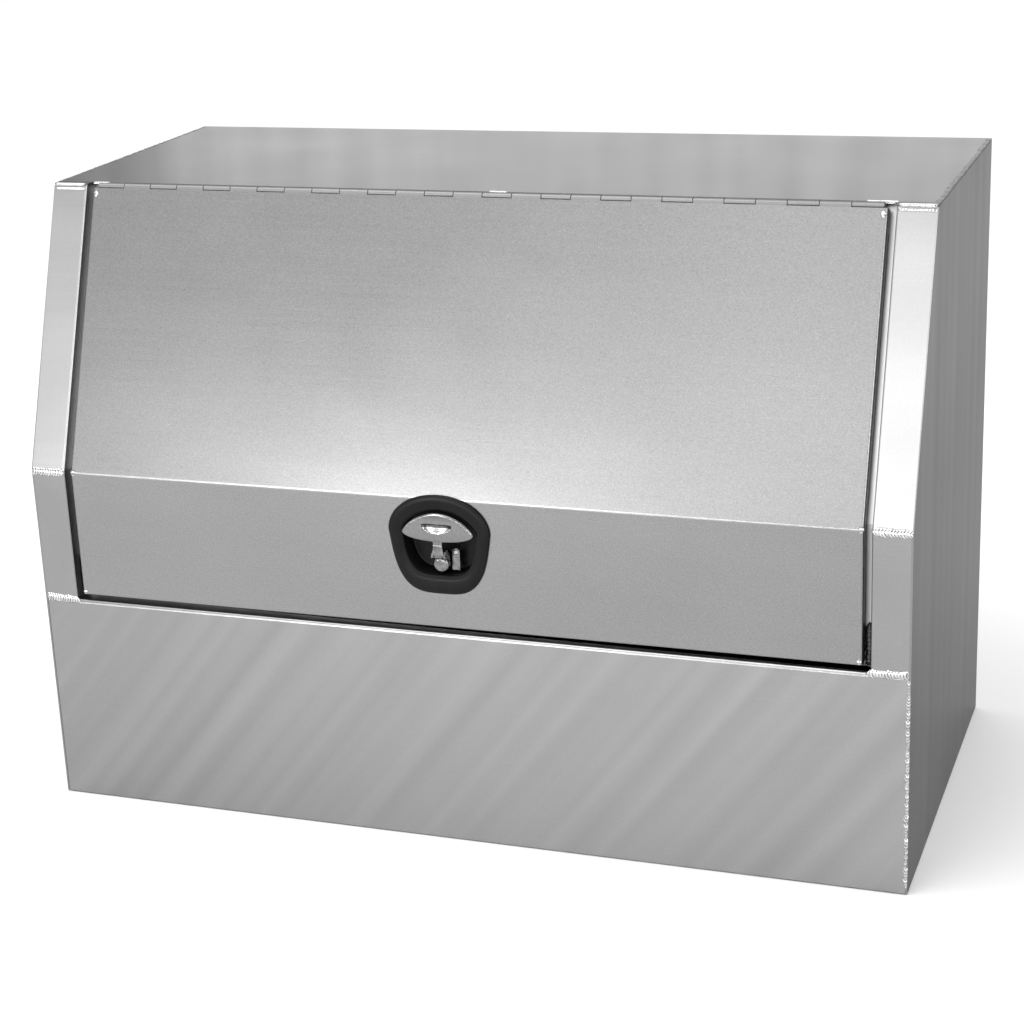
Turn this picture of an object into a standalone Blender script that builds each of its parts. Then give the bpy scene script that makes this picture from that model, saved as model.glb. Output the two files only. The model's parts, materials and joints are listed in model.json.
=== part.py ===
"""Half-slope truck tool box in welded aluminium sheet, with a top-hinged door.

Metres, +Z up, +X to the right of someone facing the door. The origin is the centre of the
underside, so the base stands on z = 0. Slope coordinates are used for everything on the door:
`up` runs up the sloping face from the box's top front edge, and `deep` runs inwards from
the outer skin.
"""

import math

import bmesh
import bpy
from mathutils import Matrix, Vector

# Box
WIDTH = 1.200
DEPTH = 0.600
HEIGHT = 0.850
TOP_DEPTH = 0.460
BREAK_Z = 0.482
SILL_Z = 0.297
SHEET = 0.0025
GAP = 0.0003
BEND_RADIUS = 0.005
BREAK_RADIUS = 0.010
LEAST_BEND = 0.001

# Door frame round the opening
STRIP_WIDTH = 0.050
STRIP_RADIUS = 0.003
LEDGE_WIDTH = 0.020
LEDGE_DEEP = 0.0215
SILL_RETURN = 0.0245
SILL_LIP_TOP = 0.318
HEADER_DEEP = 0.0123
HEADER_TAB = 0.042
HEADER_DROP = 0.022
HEADER_END = 0.0435

# Door
DOOR_SIDE_GAP = 0.010
DOOR_BOTTOM_Z = 0.305
DOOR_RETURN = 0.016
DOOR_TOP_UP = -0.0055
DOOR_CORNER = 0.003
SEAL_WIDTH = 0.009
SEAL_TOP_UP = -0.038

# Continuous hinge
KNUCKLE_COUNT = 27
KNUCKLE_PITCH = 0.0396
KNUCKLE_GAP = 0.0005
KNUCKLE_RADIUS = 0.0046
LEAF_THICKNESS = 0.0018
LEAF_BOTTOM_UP = -0.021
LEAF_TOP_UP = -0.006
HINGE_UP = -0.0016
HINGE_DEEP = 0.0074
PIN_RADIUS = 0.0024
CURL_DEG = 290.0
CURL_STEPS = 12

# Gas struts: both ends are the same distance from the hinge axis
STRUT_REACH = 0.2913
STRUT_LIFT_DEG = 5.5
STRUT_CLOSED_DEG = 70.0
STRUT_X = 0.512
STRUT_BODY_RADIUS = 0.009
STRUT_BORE_RADIUS = 0.0075
STRUT_BODY_START = 0.014
STRUT_BODY_END = 0.278
STRUT_ROD_RADIUS = 0.004
STRUT_ROD_START = 0.014
STRUT_PISTON_TIP = 0.3155
STUD_RADIUS = 0.004
BALL_RADIUS = 0.005
SOCKET_RADIUS = 0.008
BRACKET_X = 0.524
BRACKET_SIZE = 0.040

# Latch: `proud` runs outwards from the door's vertical face
LATCH_X = -0.007
LATCH_Z = 0.438
BEZEL_HALF = 0.0695
BEZEL_RISE = 0.0505
BEZEL_DROP = 0.0845
BEZEL_TAPER = 0.012
POCKET_HALF = 0.051
POCKET_RISE = 0.0295
POCKET_DROP = 0.0600
POCKET_TAPER = 0.0065
POCKET_FLOOR = -0.026
POCKET_WALL = 0.002
OUTLINE_STEPS = 40
LOWER_POWER = 3.5
POCKET_ARCH = 1.5
CREST = 0.0056
LIP = 0.0022
SPINDLE_X = -0.008
SPINDLE_Z = 0.3915
SPINDLE_RADIUS = 0.0060
SPINDLE_BORE_RADIUS = 0.0063
SPINDLE_HEAD_RADIUS = 0.0110
TAIL_SHOULDER = 0.0070
TAIL_BORE_RADIUS = 0.0073
EAR_INNER = 0.0066
EAR_OUTER = 0.0106
EAR_TOP_HALF = 0.0082
EAR_RADIUS = 0.0062
STEM_HALF = 0.0062
STEM_BACK = 0.0030
STEM_FRONT = 0.0070
FOLD_PIN_RADIUS = 0.0020
FOLD_PIN_HALF = 0.0088
FOLD_HOLE_RADIUS = 0.0023
FOLD_Z = 0.407
FOLD_PROUD = 0.0005
GRIP_Z = 0.4375
GRIP_HALF = 0.049
GRIP_RISE = 0.027
GRIP_DROP = 0.0125
GRIP_BACK = 0.0026
GRIP_FRONT = 0.0078
LOCK_X = 0.0095
LOCK_Z = 0.391
BARREL_RADIUS = 0.0055
BARREL_BORE_RADIUS = 0.0042
BARREL_FLOOR = 0.0015
BARREL_LONG = 0.0115
PLUG_RADIUS = 0.0039
PLUG_LONG = 0.0095
KEYWAY_HALF_WIDTH = 0.0006
KEYWAY_HALF_HEIGHT = 0.0028
KEYWAY_START = 0.0030
COVER_HALF = 0.0054
COVER_PIVOT_Z = 0.407
COVER_BOTTOM_Z = 0.3825
COVER_THICK = 0.0015
COVER_HOLE_RADIUS = 0.0022
COVER_PROUD = -0.0135
RIVET_SHOULDER_RADIUS = 0.0035
RIVET_NECK_RADIUS = 0.0019
PAWL_TIP_Z = 0.3200
CLAMP_HALF = 0.0735
CLAMP_RISE = 0.0410
SCREW_RADIUS = 0.0019
SCREW_HOLE_RADIUS = 0.0024
SCREW_SPOTS = ((-0.050, 0.022), (0.050, 0.022), (-0.040, -0.071), (0.040, -0.071))

FRONT_Y = -DEPTH / 2
BACK_Y = DEPTH / 2
TOP_FRONT_Y = BACK_Y - TOP_DEPTH
SLOPE_ANGLE = math.atan2(TOP_FRONT_Y - FRONT_Y, HEIGHT - BREAK_Z)
SLOPE_UP = Vector((0.0, math.sin(SLOPE_ANGLE), math.cos(SLOPE_ANGLE)))
SLOPE_IN = Vector((0.0, math.cos(SLOPE_ANGLE), -math.sin(SLOPE_ANGLE)))
DOOR_HALF = WIDTH / 2 - STRIP_WIDTH - DOOR_SIDE_GAP


def slopePoint(up, deep):
    """The (y, z) of a point `up` the slope and `deep` inwards from the top front edge."""
    point = Vector((0.0, TOP_FRONT_Y, HEIGHT)) + SLOPE_UP * up + SLOPE_IN * deep
    return point.y, point.z


HINGE_Y, HINGE_Z = slopePoint(HINGE_UP, HINGE_DEEP)


# ---------------------------------------------------------------- materials and objects

def makeMaterial(name, colour, roughness, metallic):
    material = bpy.data.materials.new(name)
    material.use_nodes = True
    shader = material.node_tree.nodes["Principled BSDF"]
    shader.inputs["Base Color"].default_value = (*colour, 1.0)
    shader.inputs["Roughness"].default_value = roughness
    shader.inputs["Metallic"].default_value = metallic
    return material


def makeObject(name, mesh, material, smooth=False):
    mesh.materials.append(material)
    if smooth:
        mesh.shade_smooth()
        mesh.set_sharp_from_angle(angle=math.radians(35))
    piece = bpy.data.objects.new(name, mesh)
    bpy.context.scene.collection.objects.link(piece)
    return piece


def meshFrom(builder, name, material, smooth=False):
    """Closes a bmesh into an object, with its faces pointing out."""
    bmesh.ops.recalc_face_normals(builder, faces=builder.faces)
    mesh = bpy.data.meshes.new(name)
    builder.to_mesh(mesh)
    builder.free()
    return makeObject(name, mesh, material, smooth)


def loft(name, loops, material, smooth=False):
    """A closed solid through rings of points, capped at the first and last ring."""
    builder = bmesh.new()
    rings = [[builder.verts.new(point) for point in loop] for loop in loops]
    for ring, following in zip(rings, rings[1:]):
        for i in range(len(ring)):
            j = (i + 1) % len(ring)
            builder.faces.new((ring[i], ring[j], following[j], following[i]))
    builder.faces.new(rings[0])
    builder.faces.new(list(reversed(rings[-1])))
    return meshFrom(builder, name, material, smooth)


def prismX(name, outline, lowX, highX, material, smooth=False):
    """A (y, z) outline extruded along X."""
    loops = [[(x, y, z) for y, z in outline] for x in (lowX, highX)]
    return loft(name, loops, material, smooth)


def prismY(name, outline, lowY, highY, material, smooth=False):
    """An (x, z) outline extruded along Y."""
    loops = [[(x, y, z) for x, z in outline] for y in (lowY, highY)]
    return loft(name, loops, material, smooth)


def turned(name, profile, start, along, material, steps=20):
    """A solid turned about the line from `start` along `along`, from (distance, radius) points."""
    axis = Vector(along).normalized()
    side = axis.orthogonal().normalized()
    other = axis.cross(side)
    loops = []
    for distance, radius in profile:
        centre = Vector(start) + axis * distance
        loops.append([
            centre + (side * math.cos(turn) + other * math.sin(turn)) * radius
            for turn in (2 * math.pi * i / steps for i in range(steps))
        ])
    return loft(name, loops, material, smooth=True)


def boxOutline(lowA, highA, lowB, highB):
    return [(lowA, lowB), (highA, lowB), (highA, highB), (lowA, highB)]


def circleOutline(a, b, radius, steps=16):
    turns = (2 * math.pi * i / steps for i in range(steps))
    return [(a + radius * math.cos(turn), b + radius * math.sin(turn)) for turn in turns]


def combine(piece, other, operation):
    """Cuts with, or joins, another object, and removes that helper."""
    modifier = piece.modifiers.new(operation.lower(), "BOOLEAN")
    modifier.operation = operation
    modifier.object = other
    graph = bpy.context.evaluated_depsgraph_get()
    result = bpy.data.meshes.new_from_object(piece.evaluated_get(graph))
    piece.modifiers.clear()
    piece.data = result
    result.name = piece.name
    bpy.data.objects.remove(other)


def cut(piece, other):
    combine(piece, other, "DIFFERENCE")


def join(piece, other):
    combine(piece, other, "UNION")


def pivotAt(name, position):
    """An empty on a joint's axis, which carries every piece of the moving body."""
    empty = bpy.data.objects.new(name, None)
    empty.empty_display_size = 0.03
    empty.location = position
    bpy.context.scene.collection.objects.link(empty)
    return empty


def carry(empty, pieces):
    """Parents pieces to an empty without moving them."""
    bpy.context.view_layer.update()
    for piece in pieces:
        piece.parent = empty
        piece.matrix_parent_inverse = empty.matrix_world.inverted()


# ---------------------------------------------------------------- folded sheet outlines

def rounded(points, radius, steps=4):
    """A polyline whose inner corners are arcs."""
    path = [Vector(points[0])]
    for before, corner, after in zip(points, points[1:], points[2:]):
        corner = Vector(corner)
        back = (Vector(before) - corner).normalized()
        ahead = (Vector(after) - corner).normalized()
        half = back.angle(ahead) / 2
        middle = corner + (back + ahead).normalized() * radius / math.sin(half)
        start = corner + back * radius / math.tan(half) - middle
        sweep = start.angle_signed(corner + ahead * radius / math.tan(half) - middle)
        for i in range(steps + 1):
            path.append(middle + Matrix.Rotation(-sweep * i / steps, 2) @ start)
    path.append(Vector(points[-1]))
    return path


def offsetPath(path, distance):
    """The polyline moved sideways, to the left of its direction, with mitred corners."""
    moved = []
    for i, point in enumerate(path):
        before = (path[i] - path[i - 1]).normalized() if i else None
        after = (path[i + 1] - path[i]).normalized() if i + 1 < len(path) else None
        normals = [Vector((-run.y, run.x)) for run in (before, after) if run]
        mean = sum(normals, Vector((0.0, 0.0))).normalized()
        moved.append(point + mean * distance / mean.dot(normals[0]))
    return moved


def foldedOutline(points, radius=BEND_RADIUS, thickness=SHEET):
    """The cross-section of a folded sheet whose outer face follows the points."""
    outer = rounded(points, radius)
    inner = offsetPath(outer, thickness)
    return [tuple(point) for point in outer + inner[::-1]]


def facePath(topUp, bottomZ, deep):
    """The box's front face from top to bottom, `deep` inwards: slope, bend and vertical."""
    sharp = [Vector(slopePoint(topUp, 0.0)), Vector((FRONT_Y, BREAK_Z)), Vector((FRONT_Y, bottomZ))]
    radius = max(BREAK_RADIUS - deep, LEAST_BEND)
    return [tuple(point) for point in rounded(offsetPath(sharp, deep), radius)]


def levelTop(path, z):
    """The path with its first point slid along its first run to a height."""
    first, second = Vector(path[0]), Vector(path[1])
    share = (z - second.y) / (first.y - second.y)
    return [tuple(second + (first - second) * share)] + path[1:]


# ---------------------------------------------------------------- the body's panels

def makeBasePanel(material):
    half = WIDTH / 2 - SHEET - GAP
    near = FRONT_Y + SHEET + GAP
    return prismX("base_panel", boxOutline(near, -near, 0.0, SHEET), -half, half, material)


def makeBackPanel(material):
    half = WIDTH / 2 - SHEET - GAP
    outline = boxOutline(BACK_Y - SHEET, BACK_Y, 0.0, HEIGHT - SHEET - GAP)
    return prismX("back_panel", outline, -half, half, material)


def makeTopPanel(material):
    """The roof, whose front edge steps back between the strips to make room for the hinge."""
    half = WIDTH / 2
    inner = WIDTH / 2 - STRIP_WIDTH
    notchY = TOP_FRONT_Y + HEADER_DEEP / math.cos(SLOPE_ANGLE)
    outline = [
        (-half, TOP_FRONT_Y), (-inner, TOP_FRONT_Y), (-inner, notchY), (inner, notchY),
        (inner, TOP_FRONT_Y), (half, TOP_FRONT_Y), (half, BACK_Y), (-half, BACK_Y),
    ]
    loops = [[(x, y, z) for x, y in outline] for z in (HEIGHT - SHEET, HEIGHT)]
    return loft("top_panel", loops, material)


def makeFrontPanel(material):
    """The lower front with its bent-in sill and the lip that the seal sits against."""
    half = WIDTH / 2 - SHEET - GAP
    returnY = FRONT_Y + SILL_RETURN
    points = [(returnY, SILL_Z), (FRONT_Y, SILL_Z), (FRONT_Y, 0.0)]
    panel = prismX("front_panel", foldedOutline(points), -half, half, material, smooth=True)
    lipHalf = WIDTH / 2 - STRIP_WIDTH - LEDGE_WIDTH - GAP
    lipY = FRONT_Y + LEDGE_DEEP
    outline = boxOutline(lipY, lipY + SHEET, SILL_Z - SHEET / 2, SILL_LIP_TOP)
    join(panel, prismX("lip", outline, -lipHalf, lipHalf, material))
    return panel


def makeEndPanel(name, side, material):
    """One end with the strip, return and ledge folded round the door opening."""
    low, high = sorted((side * (WIDTH / 2 - SHEET), side * WIDTH / 2))
    top = HEIGHT - SHEET - GAP
    front = levelTop(facePath(0.0, 0.0, 0.0), top)
    outline = front + [(BACK_Y, 0.0), (BACK_Y, top)]
    panel = prismX(name, outline, low, high, material)
    edge = WIDTH / 2 - SHEET / 2
    inner = WIDTH / 2 - STRIP_WIDTH
    ledge = inner - LEDGE_WIDTH
    back = LEDGE_DEEP + SHEET
    fold = rounded([(edge, 0.0), (inner, 0.0), (inner, LEDGE_DEEP)], STRIP_RADIUS, steps=3)
    section = [tuple(point) for point in fold] + [
        (ledge, LEDGE_DEEP), (ledge, back), (inner + SHEET, back), (inner + SHEET, SHEET),
        (edge, SHEET),
    ]
    runs = [
        (side * x, levelTop(facePath(0.0, SILL_Z + GAP, deep), top)) for x, deep in section
    ]
    loops = [[(x, *run[i]) for x, run in runs] for i in range(len(runs[0][1]))]
    join(panel, loft("strip", loops, material))
    return panel


def makeHeaderRail(material):
    """The folded rail under the roof's front edge that carries the hinge and the top seal."""
    half = WIDTH / 2 - STRIP_WIDTH - LEDGE_WIDTH - GAP
    top = HEIGHT - SHEET - GAP
    corner = levelTop([slopePoint(0.0, HEADER_DEEP), slopePoint(-HEADER_DROP, HEADER_DEEP)], top)[0]
    step = LEDGE_DEEP - HEADER_DEEP
    points = [
        (corner[0] + HEADER_TAB, top),
        corner,
        slopePoint(-HEADER_DROP, HEADER_DEEP),
        slopePoint(-HEADER_DROP - step, LEDGE_DEEP),
        slopePoint(-HEADER_END, LEDGE_DEEP),
    ]
    outline = foldedOutline(points, radius=0.0032)
    return prismX("header_rail", outline, -half, half, material, smooth=True)


def makeDoorSeal(material):
    """A closed rubber loop on the ledges, mitred at the corners and bent with the face."""
    centreX = DOOR_HALF - SEAL_WIDTH / 2 - GAP
    bottomZ = DOOR_BOTTOM_Z + SEAL_WIDTH / 2
    near, far = DOOR_RETURN + GAP, LEDGE_DEEP - GAP
    section = [
        (-SEAL_WIDTH / 2, far), (-SEAL_WIDTH / 2, near + 0.002), (-SEAL_WIDTH / 4, near),
        (SEAL_WIDTH / 4, near), (SEAL_WIDTH / 2, near + 0.002), (SEAL_WIDTH / 2, far),
    ]
    builder = bmesh.new()
    rings = []
    for side in (-1, 1):
        runs = []
        for out, deep in section:
            path = facePath(SEAL_TOP_UP + out, bottomZ - out, deep)
            runs.append([(side * (centreX + out), y, z) for y, z in path])
        stations = [[run[i] for run in runs] for i in range(len(runs[0]))]
        rings += stations if side < 0 else stations[::-1]
    rings = [[builder.verts.new(point) for point in ring] for ring in rings]
    for k, ring in enumerate(rings):
        following = rings[(k + 1) % len(rings)]
        for i in range(len(ring)):
            j = (i + 1) % len(ring)
            builder.faces.new((ring[i], ring[j], following[j], following[i]))
    return meshFrom(builder, "door_seal", material, smooth=True)


# ---------------------------------------------------------------- hinge

def makeHingeLeaf(name, deep, curlSide, first, material):
    """A leaf with every second knuckle curled from its upper edge round the pin."""
    builder = bmesh.new()
    half = KNUCKLE_COUNT * KNUCKLE_PITCH / 2
    stops = []
    for k in range(KNUCKLE_COUNT):
        stops.append(-half + k * KNUCKLE_PITCH + KNUCKLE_GAP / 2)
        stops.append(-half + (k + 1) * KNUCKLE_PITCH - KNUCKLE_GAP / 2)
    levels = [
        slopePoint(LEAF_BOTTOM_UP, deep), slopePoint(LEAF_BOTTOM_UP, deep + LEAF_THICKNESS),
        slopePoint(LEAF_TOP_UP, deep + LEAF_THICKNESS), slopePoint(LEAF_TOP_UP, deep),
    ]
    rings = [[builder.verts.new((x, y, z)) for y, z in levels] for x in stops]
    tops = []
    for k, (ring, following) in enumerate(zip(rings, rings[1:])):
        for i in range(4):
            j = (i + 1) % 4
            face = builder.faces.new((ring[i], ring[j], following[j], following[i]))
            if i == 2 and k % 2 == 0 and (k // 2) % 2 == first:
                tops.append(face)
    builder.faces.new(rings[0])
    builder.faces.new(rings[-1][::-1])
    bmesh.ops.recalc_face_normals(builder, faces=builder.faces)
    for face in tops:
        raised = bmesh.ops.extrude_discrete_faces(builder, faces=[face])["faces"]
        bmesh.ops.translate(
            builder, verts=raised[0].verts, vec=SLOPE_UP * (HINGE_UP - LEAF_TOP_UP)
        )
        bmesh.ops.spin(
            builder, geom=raised, cent=(0.0, HINGE_Y, HINGE_Z), axis=(1.0, 0.0, 0.0),
            angle=math.radians(CURL_DEG) * curlSide, steps=CURL_STEPS, use_duplicate=False,
        )
        bmesh.ops.delete(builder, geom=raised, context="FACES_ONLY")
    bmesh.ops.remove_doubles(builder, verts=builder.verts, dist=0.00001)
    return meshFrom(builder, name, material, smooth=True)


def makeHingePin(material):
    half = KNUCKLE_COUNT * KNUCKLE_PITCH / 2
    start = (-half, HINGE_Y, HINGE_Z)
    profile = [(0.0, PIN_RADIUS), (2 * half, PIN_RADIUS)]
    return turned("hinge_pin", profile, start, (1, 0, 0), material, steps=12)


# ---------------------------------------------------------------- door

def latchOutline(half, rise, drop, taper, arch=1.0):
    """The latch's outline about its widest point: an arch above and a soft taper below.

    An `arch` of 1 is half an ellipse, and a higher one is flatter towards its ends.
    """
    points = []
    for i in range(OUTLINE_STEPS):
        turn = 2 * math.pi * i / OUTLINE_STEPS
        across, along = math.cos(turn), math.sin(turn)
        if along >= 0:
            points.append((LATCH_X + half * across, LATCH_Z + rise * along ** arch))
            continue
        share = abs(along) ** (2 / LOWER_POWER)
        width = (half - taper * share) * abs(across) ** (2 / LOWER_POWER)
        points.append((LATCH_X + math.copysign(width, across), LATCH_Z - drop * share))
    return points


def pocketOutline(grow):
    return latchOutline(
        POCKET_HALF + grow, POCKET_RISE + grow, POCKET_DROP + grow, POCKET_TAPER, POCKET_ARCH
    )


def bezelOutline(shrink):
    return latchOutline(BEZEL_HALF - shrink, BEZEL_RISE - shrink, BEZEL_DROP - shrink, BEZEL_TAPER)


def makeDoorSkin(material):
    """The door's outer sheet: a tray folded in at both sides and along the bottom."""
    runs = []
    for deep in (0.0, DOOR_RETURN):
        runs.append(facePath(DOOR_TOP_UP, DOOR_BOTTOM_Z, deep))
    loops = []
    for near, far in zip(*runs):
        loops.append([
            (-DOOR_HALF, *near), (DOOR_HALF, *near), (DOOR_HALF, *far), (-DOOR_HALF, *far)
        ])
    skin = loft("door_skin", loops, material)
    builder = bmesh.new()
    builder.from_mesh(skin.data)
    outer = [Vector(point) for point in runs[0]]
    edges = []
    for edge in builder.edges:
        ends = [Vector((vert.co.y, vert.co.z)) for vert in edge.verts]
        onFace = all(min((end - point).length for point in outer) < 1e-5 for end in ends)
        if onFace and edge.calc_face_angle() > 1.2 and min(end.y for end in ends) < HEIGHT - 0.01:
            edges.append(edge)
    bmesh.ops.bevel(
        builder, geom=edges, offset=DOOR_CORNER, segments=3, profile=0.5, affect="EDGES"
    )
    builder.to_mesh(skin.data)
    builder.free()
    inner = []
    for deep in (SHEET, DOOR_RETURN + 0.01):
        inner.append(facePath(DOOR_TOP_UP + 0.01, DOOR_BOTTOM_Z + SHEET, deep))
    width = DOOR_HALF - SHEET
    loops = [
        [(-width, *near), (width, *near), (width, *far), (-width, *far)]
        for near, far in zip(*inner)
    ]
    cut(skin, loft("hollow", loops, material))
    opening = pocketOutline(POCKET_WALL + 0.0006)
    cut(skin, prismY("opening", opening, FRONT_Y - 0.02, FRONT_Y + 0.01, material))
    for across, up in SCREW_SPOTS:
        hole = circleOutline(LATCH_X + across, LATCH_Z + up, SCREW_HOLE_RADIUS, steps=10)
        cut(skin, prismY("hole", hole, FRONT_Y - 0.02, FRONT_Y + 0.01, material))
    return skin


def makeSealRail(material):
    """The angle inside the door's top that presses on the upper run of the seal."""
    half = DOOR_HALF - SHEET - GAP
    near, far = SHEET + GAP, DOOR_RETURN
    low = SEAL_TOP_UP - SHEET / 2
    points = [
        slopePoint(low, far), slopePoint(low, near), slopePoint(low + 0.018, near)
    ]
    outer = [Vector(point) for point in points]
    inner = offsetPath(outer, -SHEET)
    outline = [tuple(point) for point in outer + inner[::-1]]
    return prismX("door_seal_rail", outline, -half, half, material)


# ---------------------------------------------------------------- gas struts

def strutEnd(turnDeg):
    """The (y, z) of a strut end, turned from the slope's downward line towards the inside."""
    turn = math.radians(turnDeg)
    point = Vector((0.0, HINGE_Y, HINGE_Z))
    point += (-SLOPE_UP * math.cos(turn) + SLOPE_IN * math.sin(turn)) * STRUT_REACH
    return point.y, point.z


DOOR_END = strutEnd(STRUT_LIFT_DEG)
BODY_END = strutEnd(STRUT_LIFT_DEG + STRUT_CLOSED_DEG)
STRUT_RUN = Vector((0.0, DOOR_END[0] - BODY_END[0], DOOR_END[1] - BODY_END[1])).normalized()


def makeSocket(name, side, end, run, material):
    """The ball socket at a strut's end: an eye round the stud with a neck along the strut."""
    half = 0.0055
    x = side * STRUT_X
    socket = turned(
        name, [(0.0, SOCKET_RADIUS), (2 * half, SOCKET_RADIUS)], (x - half, *end), (1, 0, 0),
        material, steps=16,
    )
    neckEnd = STRUT_BODY_START - GAP
    neck = turned("neck", [(0.004, 0.0045), (neckEnd, 0.0045)], (x, *end), run, material, steps=12)
    join(socket, neck)
    bore = turned(
        "bore", [(0.0, BALL_RADIUS + GAP), (0.03, BALL_RADIUS + GAP)], (x - 0.015, *end),
        (1, 0, 0), material, steps=16,
    )
    cut(socket, bore)
    return socket


def makeStud(name, side, end, material):
    """A ball stud that stands inwards from its bracket."""
    start = (side * (BRACKET_X - GAP), *end)
    reach = BRACKET_X - STRUT_X
    profile = [
        (0.0, 0.0065), (0.0025, 0.0065), (0.0026, STUD_RADIUS), (reach - 0.004, STUD_RADIUS),
        (reach - 0.002, BALL_RADIUS), (reach + 0.003, BALL_RADIUS), (reach + 0.005, 0.003),
    ]
    return turned(name, profile, start, (-side, 0, 0), material, steps=16)


def makeCylinder(name, side, material):
    """The strut's pressure tube: closed at the back, with a guide bush round the rod."""
    bore, wall = STRUT_BORE_RADIUS, STRUT_BODY_RADIUS
    mouth = STRUT_ROD_RADIUS + GAP
    profile = [
        (STRUT_BODY_START, 0.006), (STRUT_BODY_START, wall - 0.002),
        (STRUT_BODY_START + 0.002, wall), (STRUT_BODY_END - 0.002, wall),
        (STRUT_BODY_END, wall - 0.002), (STRUT_BODY_END, mouth),
        (STRUT_BODY_END - 0.012, mouth), (STRUT_BODY_END - 0.012, bore),
        (STRUT_BODY_START + 0.002, bore),
    ]
    return turned(name, profile, (side * STRUT_X, *BODY_END), STRUT_RUN, material)


def makeRod(name, side, material):
    """The strut's polished rod with the piston on its inner end."""
    tip = STRUT_PISTON_TIP
    piston = STRUT_BORE_RADIUS - GAP
    profile = [
        (STRUT_ROD_START, STRUT_ROD_RADIUS), (tip - 0.010, STRUT_ROD_RADIUS),
        (tip - 0.010, piston), (tip, piston),
    ]
    return turned(name, profile, (side * STRUT_X, *DOOR_END), -STRUT_RUN, material, steps=16)


def makeBodyBracket(name, side, material):
    """A folded arm that stands off the end wall and holds the body's ball stud."""
    wallX = WIDTH / 2 - SHEET - GAP
    y, z = BODY_END
    half = BRACKET_SIZE / 2
    points = [
        (wallX, z + half + 0.020), (wallX, z - half), (BRACKET_X, z - half), (BRACKET_X, z + half)
    ]
    outer = [Vector(point) for point in points]
    inner = offsetPath(outer, -SHEET)
    outline = [(side * x, height) for x, height in outer + inner[::-1]]
    return prismY(name, outline, y - half, y + half, material)


def makeDoorBracket(name, side, material):
    """An angle on the door's skin that holds the door's ball stud."""
    base = SHEET + GAP
    deep = HINGE_DEEP + STRUT_REACH * math.sin(math.radians(STRUT_LIFT_DEG)) + 0.010
    outline = [
        (BRACKET_X, base), (BRACKET_X, deep), (BRACKET_X + SHEET, deep),
        (BRACKET_X + SHEET, base + SHEET), (BRACKET_X + 0.012, base + SHEET),
        (BRACKET_X + 0.012, base),
    ]
    middle = HINGE_UP - STRUT_REACH * math.cos(math.radians(STRUT_LIFT_DEG))
    loops = []
    for up in (middle - BRACKET_SIZE / 2, middle + BRACKET_SIZE / 2):
        loops.append([(side * x, *slopePoint(up, deepAt)) for x, deepAt in outline])
    return loft(name, loops, material)


# ---------------------------------------------------------------- latch

def makeDish(material):
    """The moulded bezel and pocket, turned down round the hole in the door."""
    rings = [
        (bezelOutline(0.0055), 0.0016), (bezelOutline(0.0), 0.0016), (bezelOutline(0.0), 0.0024),
        (bezelOutline(0.0013), 0.0038), (bezelOutline(0.0042), CREST - 0.0006),
        (bezelOutline(0.0080), CREST), (pocketOutline(0.0055), CREST - 0.0010),
        (pocketOutline(0.0018), LIP + 0.0009), (pocketOutline(0.0), LIP),
        (pocketOutline(-0.0006), POCKET_FLOOR + 0.002), (pocketOutline(-0.0018), POCKET_FLOOR),
    ]
    loops = [[(x, FRONT_Y - proud, z) for x, z in outline] for outline, proud in rings]
    behind = [
        (pocketOutline(POCKET_WALL), 0.0016), (pocketOutline(POCKET_WALL - 0.0010), POCKET_FLOOR),
        (pocketOutline(-0.0010), POCKET_FLOOR - 0.0022),
    ]
    backLoops = [[(x, FRONT_Y - proud, z) for x, z in outline] for outline, proud in behind]
    builder = bmesh.new()
    front = [[builder.verts.new(point) for point in loop] for loop in loops]
    back = [[builder.verts.new(point) for point in loop] for loop in backLoops]
    chain = back[::-1] + front
    for ring, following in zip(chain, chain[1:]):
        for i in range(OUTLINE_STEPS):
            j = (i + 1) % OUTLINE_STEPS
            builder.faces.new((ring[i], ring[j], following[j], following[i]))
    builder.faces.new(chain[0])
    builder.faces.new(chain[-1][::-1])
    dish = meshFrom(builder, "latch_dish", material, smooth=True)
    bore = circleOutline(SPINDLE_X, SPINDLE_Z, TAIL_BORE_RADIUS, steps=20)
    cut(dish, prismY("bore", bore, FRONT_Y + 0.02, FRONT_Y + 0.04, material))
    for across, up in SCREW_SPOTS:
        hole = circleOutline(LATCH_X + across, LATCH_Z + up, SCREW_HOLE_RADIUS, steps=10)
        cut(dish, prismY("hole", hole, FRONT_Y - 0.0032, FRONT_Y + 0.01, material))
    return dish


def makeRing(name, outer, inner, lowY, highY, material):
    """A flat ring between two outlines, drilled for the latch screws."""
    ring = prismY(name, outer, lowY, highY, material)
    cut(ring, prismY("inside", inner, lowY - 0.01, highY + 0.01, material))
    for across, up in SCREW_SPOTS:
        hole = circleOutline(LATCH_X + across, LATCH_Z + up, SCREW_HOLE_RADIUS, steps=10)
        cut(ring, prismY("hole", hole, lowY - 0.01, highY + 0.01, material))
    return ring


def makeScrew(number, across, up, material):
    """A pan-head screw driven from inside the door into the bezel."""
    head = SHEET + GAP + 0.002 + GAP
    start = (LATCH_X + across, FRONT_Y + head + 0.0024, LATCH_Z + up)
    profile = [(0.0, 0.0030), (0.0012, 0.0042), (0.0024, 0.0042), (0.0024, SCREW_RADIUS)]
    profile.append((0.0024 + head + 0.0028, SCREW_RADIUS))
    return turned(f"latch_screw_{number}", profile, start, (0, -1, 0), material, steps=12)


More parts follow.
